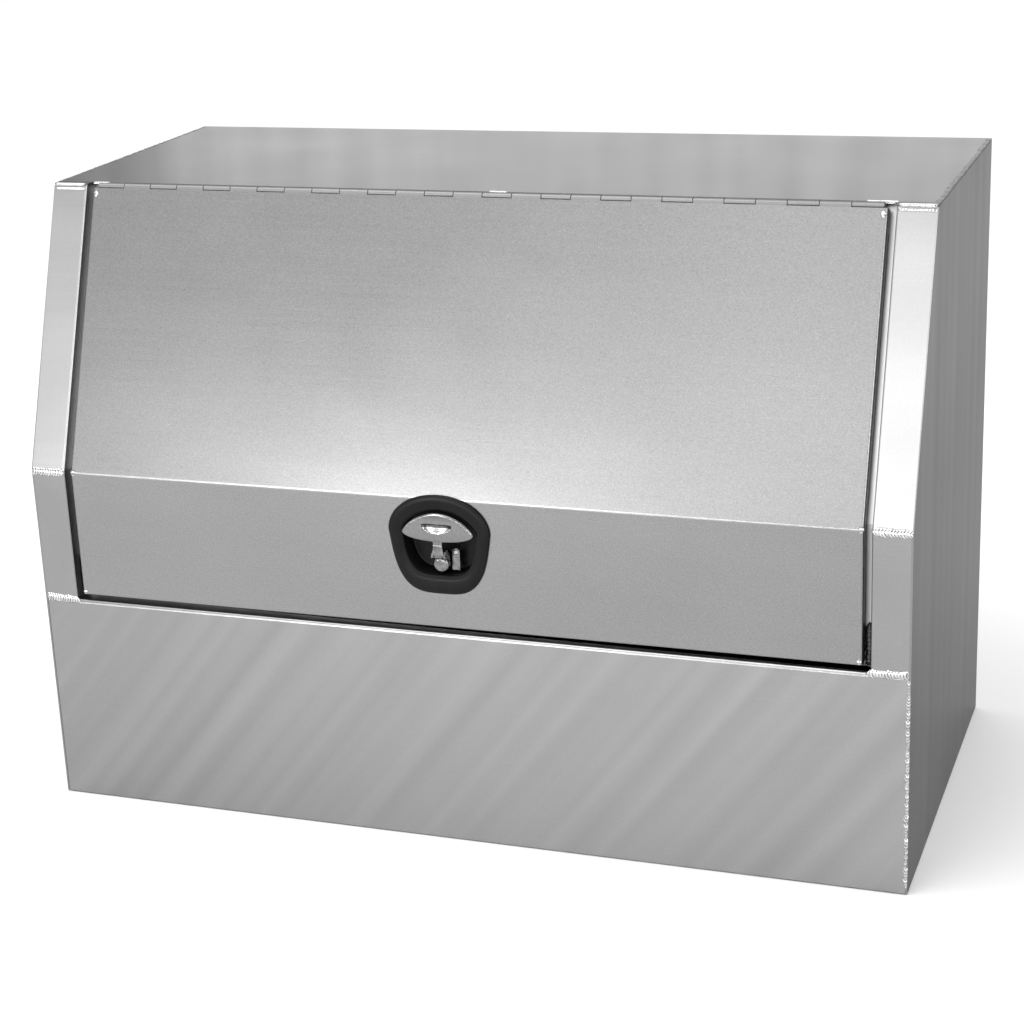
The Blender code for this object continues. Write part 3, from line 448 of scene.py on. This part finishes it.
# more rings between the given ones, on a smooth curve through every column of points
def fillIn(rings, steps):
    filled = []
    last = len(rings) - 1
    for k in range(last):
        a, b, c, d = (rings[min(max(k + i, 0), last)] for i in (-1, 0, 1, 2))
        for step in range(steps):
            filled.append([onCurve(p, q, r, s, step / steps) for p, q, r, s in zip(a, b, c, d)])
    filled.append(rings[-1])
    return filled


def bodyOf(node):
    return next(name for name, nodes in frame["record"]["behaviour"]["bodies"].items() if node in nodes)


# the bend between an end wall and its strip, which is rounder than the cut edges
def isStripCorner(edge):
    a, b = (vert.co for vert in edge.verts)
    atWall = all(abs(abs(point.x) - box["half"]) < 1e-4 for point in (a, b))
    inFront = all(point.y < box["topFront"] + 0.002 for point in (a, b))
    return atWall and inFront and abs(a.z - b.z) > 0.02


# a copy of a solid with its corners eased and its faces shaded smooth, shown in its place
def ease(node, material, bevel, bend=0.0, sharpDeg=32.0):
    builder = bmesh.new()
    builder.from_mesh(frame["nodes"][node].data)
    bmesh.ops.remove_doubles(builder, verts=builder.verts, dist=1e-6)
    bmesh.ops.dissolve_limit(builder, angle_limit=0.004, verts=builder.verts, edges=builder.edges)
    if bend:
        corner = [edge for edge in builder.edges if edge.is_manifold and isStripCorner(edge)]
        bmesh.ops.bevel(
            builder, geom=corner, offset=bend, segments=5, profile=0.5, affect="EDGES", clamp_overlap=True,
        )
    mesh = shadedMesh(builder, node + ".fine", sharpDeg)
    piece = newPiece(node + ".fine", mesh, material, bodyOf(node), (node,))
    addModifier(
        piece, "BEVEL", width=bevel, segments=3, limit_method="ANGLE", angle_limit=math.radians(48),
        harden_normals=False, use_clamp_overlap=True,
    )
    addModifier(piece, "WEIGHTED_NORMAL", keep_sharp=True, weight=80)


panels = {
    "base_panel": "inner", "back_panel": "inner", "top_panel": "roof", "front_panel": "front",
    "end_panel_left": "end", "end_panel_right": "end", "header_rail": "inner", "door_skin": "door",
    "door_seal_rail": "inner", "hinge_body_leaf": "hinge", "hinge_door_leaf": "hinge",
}
for node, look in panels.items():
    ease(node, finishes[look], 0.0005, box["bend"] if look == "end" else 0.0)
print("eased", len(panels), "panels")

hardware = {
    "door_seal": "rubber", "hinge_pin": "zinc", "latch_gasket": "rubber", "latch_clamp_plate": "zinc",
    "fold_pin": "zinc", "spindle_spacer": "zinc", "latch_pawl": "zinc", "spindle_washer": "zinc",
    "spindle_nut": "zinc", "latch_spindle": "chrome", "key_cover": "chrome", "lock_barrel": "chrome",
    "lock_plug": "zinc", "cover_rivet": "zinc",
}
for number in range(1, 5):
    hardware[f"latch_screw_{number}"] = "zinc"
for word in ("left", "right"):
    for node in ("body_bracket", "door_bracket", "body_stud", "door_stud"):
        hardware[f"{node}_{word}"] = "zinc"
    hardware[f"strut_cylinder_{word}"] = "strut"
    hardware[f"body_socket_{word}"] = "strut"
    hardware[f"door_socket_{word}"] = "strut"
    hardware[f"strut_rod_{word}"] = "rod"
for node, look in hardware.items():
    ease(node, finishes[look], 0.00025, sharpDeg=38.0)
print("eased", len(hardware), "pieces of hardware")


# the latch's black frame, with the pocket that the handle lies in
bezel = {
    "x": -0.007, "z": 0.438, "half": 0.0695, "rise": 0.0505, "drop": 0.0845, "taper": 0.012,
    "crest": 0.0056, "lip": 0.0022, "floor": -0.026, "wall": 0.002, "points": 160,
}
pocket = {"half": 0.051, "rise": 0.0295, "drop": 0.060, "taper": 0.0065, "arch": 1.5, "power": 3.5}


# the latch's outline: an arch above its widest point and a soft taper below
def latchOutline(half, rise, drop, taper, arch):
    outline = []
    for i in range(bezel["points"]):
        turn = 2 * math.pi * i / bezel["points"]
        across, along = math.cos(turn), math.sin(turn)
        if along >= 0:
            outline.append((bezel["x"] + half * across, bezel["z"] + rise * along ** arch))
            continue
        share = abs(along) ** (2 / pocket["power"])
        width = (half - taper * share) * abs(across) ** (2 / pocket["power"])
        outline.append((bezel["x"] + math.copysign(width, across), bezel["z"] - drop * share))
    return outline


# the bezel's outline, shrunk, at a height proud of the door
def bezelRing(shrink, proud):
    outline = latchOutline(
        bezel["half"] - shrink, bezel["rise"] - shrink, bezel["drop"] - shrink, bezel["taper"], 1.0
    )
    return [Vector((x, box["front"] - proud, z)) for x, z in outline]


def pocketRing(grow, proud):
    outline = latchOutline(
        pocket["half"] + grow, pocket["rise"] + grow, pocket["drop"] + grow, pocket["taper"], pocket["arch"]
    )
    return [Vector((x, box["front"] - proud, z)) for x, z in outline]


# one skin from behind the pocket round the rim and down to the pocket's floor
def makeBezel():
    crest, lip, floor = bezel["crest"], bezel["lip"], bezel["floor"]
    behind = [
        pocketRing(-0.0010, floor - 0.0022), pocketRing(bezel["wall"] - 0.0012, floor - 0.0018),
        pocketRing(bezel["wall"] - 0.0010, floor), pocketRing(bezel["wall"], 0.0016),
        bezelRing(0.0055, 0.0016), bezelRing(0.0003, 0.0016), bezelRing(0.0, 0.0018),
    ]
    roll = fillIn([
        bezelRing(0.0, 0.0022), bezelRing(0.0012, 0.0038), bezelRing(0.0040, crest - 0.0006),
        bezelRing(0.0080, crest), pocketRing(0.0060, crest - 0.0008), pocketRing(0.0020, lip + 0.0010),
        pocketRing(0.0004, lip + 0.0001),
    ], 5)
    wall = [pocketRing(0.0, lip - 0.0004), pocketRing(-0.0003, -0.008), pocketRing(-0.0006, floor + 0.0026)]
    toe = fillIn([
        pocketRing(-0.0007, floor + 0.0022), pocketRing(-0.0012, floor + 0.0007), pocketRing(-0.0028, floor),
    ], 4)
    mesh = skinRings("bezel", behind + roll + wall + toe, 50.0)
    newPiece("latchBezel", mesh, finishes["moulding"], "door", ("latch_dish",))


grip = {
    "x": -0.008, "z": 0.4375, "half": 0.049, "rise": 0.027, "drop": 0.0125, "back": 0.0026,
    "front": 0.0078, "crown": 0.0012, "scoopHalf": 0.0205, "scoopTop": 0.4495, "scoopDrop": 0.0125,
    "scoopDeep": 0.0022, "points": 128, "layers": 34,
}


# the grip's chrome is darker towards its upper edge and mottled, with painted shade under the scoop's lip
def gripPaint(place):
    sockets = chromePaint(place)
    height = place.along((0.0, 0.0, 1.0))
    across = (place.along((1.0, 0.0, 0.0)) - grip["x"]).size()
    lip = grip["scoopTop"]
    # painted shade: a dark band just under the scoop's lip
    scoopLipPaintedShade = (across < grip["scoopHalf"]) * height.ramp(lip - 0.0044, lip - 0.0034) * (height < lip + 0.0002)
    mottle = place.noise(260.0, 3.0, 0.65)
    upper = height.ramp(lip + 0.0025, lip + 0.0125)
    mottleAndShade = scoopLipPaintedShade * 0.95 + (1.0 - scoopLipPaintedShade) * (upper * 0.25 + (mottle - 0.5) * 0.5)
    sockets["Base Color"] = (0.22 + mottleAndShade).colours(grey(0.27), grey(0.03))
    return sockets


finishes["grip"] = finish("chromeGrip", gripPaint)


# the grip's outline: a high arch above and a flatter one below
def gripOutline(shrink):
    outline = []
    for i in range(grip["points"]):
        turn = 2 * math.pi * i / grip["points"]
        across = math.cos(turn)
        fall = max(0.0, 1 - across * across)
        if turn < math.pi:
            height = (grip["rise"] - shrink) * fall ** 0.75
        else:
            height = -(grip["drop"] - shrink) * fall ** 0.45
        outline.append((grip["x"] + (grip["half"] - shrink) * across, grip["z"] + height))
    return outline


# how deep the thumb scoop is at a point of the grip's face: steep at its straight top edge
def scoopDepth(x, z):
    across = (x - grip["x"]) / grip["scoopHalf"]
    if abs(across) >= 1:
        return 0.0
    reach = grip["scoopDrop"] * (1 - across * across) ** 0.55
    below = grip["scoopTop"] - z
    if below <= -0.0008 or below >= reach:
        return 0.0
    edge = min(1.0, (below + 0.0008) / 0.0012)
    return grip["scoopDeep"] * edge * (1 - below / reach) ** 0.8 * min(1.0, 4 * (1 - abs(across)))


# rings round the grip's back and edge, then ever smaller ones over its crowned face
def makeGrip():
    def ring(shrink, proud):
        return [Vector((x, box["front"] - proud, z)) for x, z in gripOutline(shrink)]

    front = grip["front"] - grip["crown"]
    rings = [ring(0.0020, grip["back"])] + fillIn([
        ring(0.0004, grip["back"] + 0.0006), ring(0.0, grip["back"] + 0.0018), ring(0.0, front - 0.0020),
        ring(0.0009, front - 0.0006), ring(0.0026, front),
    ], 4)
    edge = gripOutline(0.0026)
    middle = Vector((grip["x"], grip["z"] + 0.0045))
    for k in range(1, grip["layers"]):
        share = k / grip["layers"]
        face = []
        for x, z in edge:
            point = Vector((x, z)).lerp(middle, share)
            proud = front + grip["crown"] * (1 - (1 - share) ** 2) - scoopDepth(point.x, point.y)
            face.append(Vector((point.x, box["front"] - proud, point.y)))
        rings.append(face)
    mesh = skinRings("grip", rings, 40.0)
    newPiece("latchGrip", mesh, finishes["grip"], "handle", ("latch_handle",))


stem = {"fold": (-0.3005, 0.407), "eye": 0.0062, "half": 0.0061, "points": 12}


# the stem from the grip's back down to its eye on the fold pin
def makeStem():
    y, z = stem["fold"]
    front = box["front"]
    # seen from the side: the shank, then the eye round the fold pin
    profile = [
        (y - 0.0058, z + 0.001), (front - 0.0068, z + 0.013), (front - 0.0068, z + 0.024),
        (front - 0.0034, z + 0.028), (front - 0.0024, z + 0.020), (y - 0.0004, z + 0.0125),
        (y + 0.0048, z + 0.005),
    ]
    for i in range(stem["points"]):
        turn = math.radians(18 - i * 196 / (stem["points"] - 1))
        profile.append((y + stem["eye"] * math.cos(turn), z + stem["eye"] * math.sin(turn)))
    middleY = sum(pointY for pointY, _ in profile) / len(profile)
    middleZ = sum(pointZ for _, pointZ in profile) / len(profile)
    rings = []
    for across, shrink in ((-1.0, 0.0008), (-0.9, 0.0), (0.9, 0.0), (1.0, 0.0008)):
        ring = []
        for pointY, pointZ in profile:
            pull = Vector((middleY - pointY, middleZ - pointZ)).normalized() * shrink
            ring.append(Vector((grip["x"] + stem["half"] * across, pointY + pull.x, pointZ + pull.y)))
        rings.append(ring)
    mesh = skinRings("stem", rings, 40.0)
    piece = newPiece("latchStem", mesh, finishes["chrome"], "handle")
    addModifier(piece, "WEIGHTED_NORMAL", keep_sharp=True)


collar = {
    "outline": [
        (0.0061, 0.4215), (0.0066, 0.4165), (0.0080, 0.4115), (0.0088, 0.4085), (0.0090, 0.4070),
    ],
    "back": 0.0069, "front": 0.0077, "round": 0.0005,
}


# the collar that widens the foot of the stem over the fork
def makeCollar():
    right = collar["outline"]
    middle = sum(z for _, z in right) / len(right)
    rings = []
    for proud, shrink in (
        (collar["back"], 0.0), (collar["front"] - collar["round"], 0.0), (collar["front"], collar["round"]),
    ):
        half = [(x - shrink, z + math.copysign(shrink, middle - z)) for x, z in right]
        ring = [(grip["x"] + x, z) for x, z in half] + [(grip["x"] - x, z) for x, z in reversed(half)]
        rings.append([Vector((x, box["front"] - proud, z)) for x, z in ring])
    mesh = skinRings("collar", rings, 40.0)
    newPiece("latchCollar", mesh, finishes["chrome"], "handle")


makeBezel()
makeGrip()
makeStem()
makeCollar()
print("shaped the latch")


dice = random.Random(7)


# a weld is dressed flush wherever it would stand out past the box's own corners
def insideBox(point):
    margin = 0.0001
    return Vector((
        min(max(point.x, cadLow.x + margin), cadHigh.x - margin),
        min(max(point.y, cadLow.y + margin), cadHigh.y - margin),
        min(point.z, cadHigh.z - margin),
    ))


# a bead laid from start to stop in overlapping ripples, each a small crescent
def layBead(name, body, start, stop, out, bead):
    out = Vector(out).normalized()
    length = (stop - start).length
    heading = (stop - start).normalized()
    side = heading.cross(out).normalized()
    steps = bead["steps"]
    total = steps * max(2, round(length / bead["pitch"]))
    rings, ringCrests = [], []
    for k in range(total + 1):
        centre = start + heading * (length * k / total)
        phase = (k % steps) / steps
        end = min(1.0, min(k, total - k) / (steps * 0.9)) ** 0.5
        if k % steps == 0:
            swell = 1.0 + dice.uniform(-1, 1) * bead["uneven"]
            drift = dice.uniform(-1, 1) * bead["wander"]
        spread = max(0.08, end) * swell * (1.0 - 0.14 * phase ** 2)
        rise = max(0.08, end) * swell * (1.0 - bead["notch"] * phase ** 1.4)
        ring = []
        for j in range(bead["arc"] + 1):
            turn = math.pi * j / bead["arc"]
            wide, tall = math.cos(turn), math.sin(turn)
            sweep = -bead["pitch"] * bead["curl"] * wide * wide * end
            ring.append(insideBox(
                centre + side * (wide * spread * bead["width"] / 2 + drift)
                + out * (tall * rise * bead["height"] - 0.0002) + heading * sweep
            ))
        ring.append(insideBox(centre + side * drift - out * 0.0008))
        rings.append(ring)
        # each ring's crest value, high on a ripple's top and low in its crease, drives the weld's painted highlight
        # and painted shade
        ringCrests.append(1.0 - phase ** 1.2)
    mesh = skinRings(name, rings, 60.0)
    crests = mesh.attributes.new("crest", "FLOAT", "POINT")
    crests.data.foreach_set("value", [crest for crest in ringCrests for _ in rings[0]])
    newPiece(name, mesh, finishes[bead["metal"]], body)


neat = {
    "width": 0.0064, "height": 0.0024, "pitch": 0.0036, "uneven": 0.12, "wander": 0.0001,
    "notch": 0.45, "curl": 0.75, "metal": "weld", "steps": 5, "arc": 8,
}
broad = dict(neat, width=0.0110, height=0.0022, pitch=0.0038, uneven=0.16, wander=0.0004, notch=0.40)
rough = dict(neat, width=0.0046, height=0.0010, pitch=0.0040, uneven=0.50, wander=0.0006, notch=0.30)
spot = dict(neat, width=0.0076, height=0.0018, pitch=0.0045, uneven=0.10, notch=0.25, curl=0.05)
flat = dict(
    neat, width=0.0056, height=0.0006, pitch=0.0050, uneven=0.45, wander=0.0005, notch=0.20, curl=0.1,
    metal="ground",
)
deep = dict(broad, height=0.006, pitch=0.006, metal="ground")


# the seams of the right side, mirrored on the left: the kind of bead, which way it faces, and
# where it starts and stops
def sideSeams():
    half, front, top, topFront = box["half"], box["front"], box["top"], box["topFront"]
    inner, door, gapY = half - box["strip"], box["doorHalf"], front + box["gapDeep"]
    breakZ, sillZ, footZ = box["breakZ"], box["sillZ"], box["doorFootZ"]
    lower = slopeRun * -0.0072
    doorTop = Vector((door - 0.005, topFront, top)) - slopeRun * 0.018
    return {
        "stripTop": (
            neat, (0, -0.75, 0.65),
            (half - 0.002, topFront - 0.0004, top - 0.001),
            (inner + 0.001, topFront - 0.0004, top - 0.001),
        ),
        "breakSeam": (
            broad, (0, -1, 0.2),
            (half - 0.001, front, breakZ - 0.001), (inner - 0.001, front, breakZ - 0.001),
        ),
        "sillSeam": (
            broad, (0, -1, 0), (half - 0.003, front, sillZ + 0.001), (inner - 0.006, front, sillZ - 0.001),
        ),
        "cornerSeam": (
            rough, (0, -1, 0), (half - 0.0026, front, sillZ - 0.006), (half - 0.0026, front, 0.006),
        ),
        "gapSeam": (
            deep, (0, -1, 0), (inner - 0.005, gapY, sillZ + 0.002), (inner - 0.005, gapY, sillZ + 0.059),
        ),
        "roofSeam": (
            flat, (0, 0, 1), (half - 0.003, topFront + 0.006, top), (half - 0.003, box["back"] - 0.004, top),
        ),
        "stripTopLower": (
            dict(neat, height=0.0014, width=0.0048), slopeOut,
            Vector((half - 0.002, topFront, top)) + lower, Vector((inner + 0.001, topFront, top)) + lower,
        ),
        "doorTop": (spot, slopeOut, doorTop, doorTop + slopeRun * 0.010),
        "doorBreak": (
            spot, (0, -1, 0.2),
            (door - 0.003, front + 0.0002, breakZ - 0.005), (door - 0.003, front + 0.0008, breakZ + 0.005),
        ),
        "doorFoot": (spot, (0, -1, 0), (door - 0.004, front, footZ), (door - 0.004, front, footZ + 0.0078)),
    }


stitches = {"Left": (-0.546, -0.520), "Middle": (0.026, 0.052), "Right": (0.512, 0.552)}


def makeWelds():
    laid = 0
    for word, side in (("left", -1), ("right", 1)):
        for name, (bead, out, start, stop) in sideSeams().items():
            if name == "cornerSeam" and word == "left":  # that corner is dressed flush
                continue
            body = "door" if name.startswith("door") else "box"
            ends = [Vector((side * x, y, z)) for x, y, z in (start, stop)]
            layBead(f"{name}.{word}", body, *ends, out, bead)
            laid += 1
    for name, places in stitches.items():
        ends = [Vector((x, box["topFront"] + 0.012, box["top"] - 0.0008)) for x in places]
        layBead(f"hingeStitch{name}", "box", *ends, (0, -0.5, 1), dict(neat, width=0.0062))
        laid += 1
    print("laid", laid, "weld beads")


makeWelds()


studioFloor = {"reach": 40.0, "z": -0.0015}


def makeFloor():
    builder = bmesh.new()
    bmesh.ops.create_grid(builder, x_segments=2, y_segments=2, size=studioFloor["reach"])
    bmesh.ops.translate(builder, verts=builder.verts, vec=(0.0, 0.0, studioFloor["z"]))
    mesh = shadedMesh(builder, "floor")

    def paint(place):
        shade = place.noise(1.3, 3.0, 0.5)
        return {
            "Base Color": shade.colours(grey(0.90), grey(0.93)),
            "Roughness": 0.75 + (shade - 0.5) * 0.1,
            "Specular IOR Level": 0.15,
        }

    mesh.materials.append(finish("paleFloor", paint))
    floor = bpy.data.objects.new("floor", mesh)
    bpy.context.scene.collection.objects.link(floor)


# soft panels round the box: they show in its metal, and only the one overhead also lights dull faces
softboxes = {
    "frontLow": {"at": (-1.25, -3.4, 1.14), "look": (-0.04, -0.3, 0.48), "size": (0.46, 0.34), "watts": 22.0},
    "frontStrip": {"at": (-0.8, -4.2, 0.56), "look": (0.0, -0.3, 0.48), "size": (5.0, 0.12), "watts": 45.0},
    "frontRight": {"at": (-0.2, -3.8, 2.35), "look": (0.3, -0.2, 0.7), "size": (1.2, 1.2), "watts": 6.0},
    "rightTall": {"at": (3.0, -2.4, 1.6), "look": (0.3, -0.2, 0.6), "size": (0.7, 2.0), "watts": 30.0},
    "overhead": {"at": (-0.9, -1.4, 3.6), "look": (0.0, -0.3, 0.4), "size": (3.0, 1.6), "watts": 70.0},
    "backWall": {"at": (-0.4, 4.6, 1.9), "look": (0.0, 0.1, 0.8), "size": (5.0, 1.4), "watts": 46.0},
}
surround = {"Color": (1.0, 1.0, 1.0, 1.0), "Strength": 1.10}  # white from every side


def makeLights():
    for name, lamp in softboxes.items():
        light = bpy.data.lights.new(name, "AREA")
        light.shape = "RECTANGLE"
        light.size, light.size_y = lamp["size"]
        light.energy = lamp["watts"]
        holder = bpy.data.objects.new(name, light)
        holder.location = lamp["at"]
        facing = Vector(lamp["look"]) - Vector(lamp["at"])
        holder.rotation_euler = facing.to_track_quat("-Z", "Y").to_euler()
        holder.visible_camera = False
        holder.visible_diffuse = name == "overhead"
        bpy.context.scene.collection.objects.link(holder)
    world = bpy.data.worlds.new("studio")
    world.use_nodes = True
    for socket, value in surround.items():
        world.node_tree.nodes["Background"].inputs[socket].default_value = value
    bpy.context.scene.world = world


view = {
    "at": (1.0116, -2.8536, 1.4013), "azimuth": 20.376, "elevation": 18.978, "roll": -2.625,
    "lens": 79.69, "sensor": 36.0, "shift": (0.0217, 0.0040),
}


def makeCamera():
    turn, lift, roll = (math.radians(view[key]) for key in ("azimuth", "elevation", "roll"))
    back = Vector((math.sin(turn) * math.cos(lift), -math.cos(turn) * math.cos(lift), math.sin(lift)))
    right = Vector((0.0, 0.0, 1.0)).cross(back).normalized()
    up = back.cross(right)
    rolledRight = right * math.cos(roll) + up * math.sin(roll)
    rolledUp = up * math.cos(roll) - right * math.sin(roll)
    lens = bpy.data.cameras.new("camera")
    lens.lens, lens.sensor_width = view["lens"], view["sensor"]
    lens.shift_x, lens.shift_y = view["shift"]
    lens.clip_start, lens.clip_end = 0.05, 100.0
    camera = bpy.data.objects.new("camera", lens)
    axes = Matrix((rolledRight, rolledUp, back)).transposed().to_4x4()
    camera.matrix_world = Matrix.Translation(view["at"]) @ axes
    bpy.context.scene.collection.objects.link(camera)
    bpy.context.scene.camera = camera


makeFloor()
makeLights()
makeCamera()
bpy.context.scene.view_settings.view_transform = "Standard"
print("set the floor, lights and camera")

bpy.context.view_layer.update()
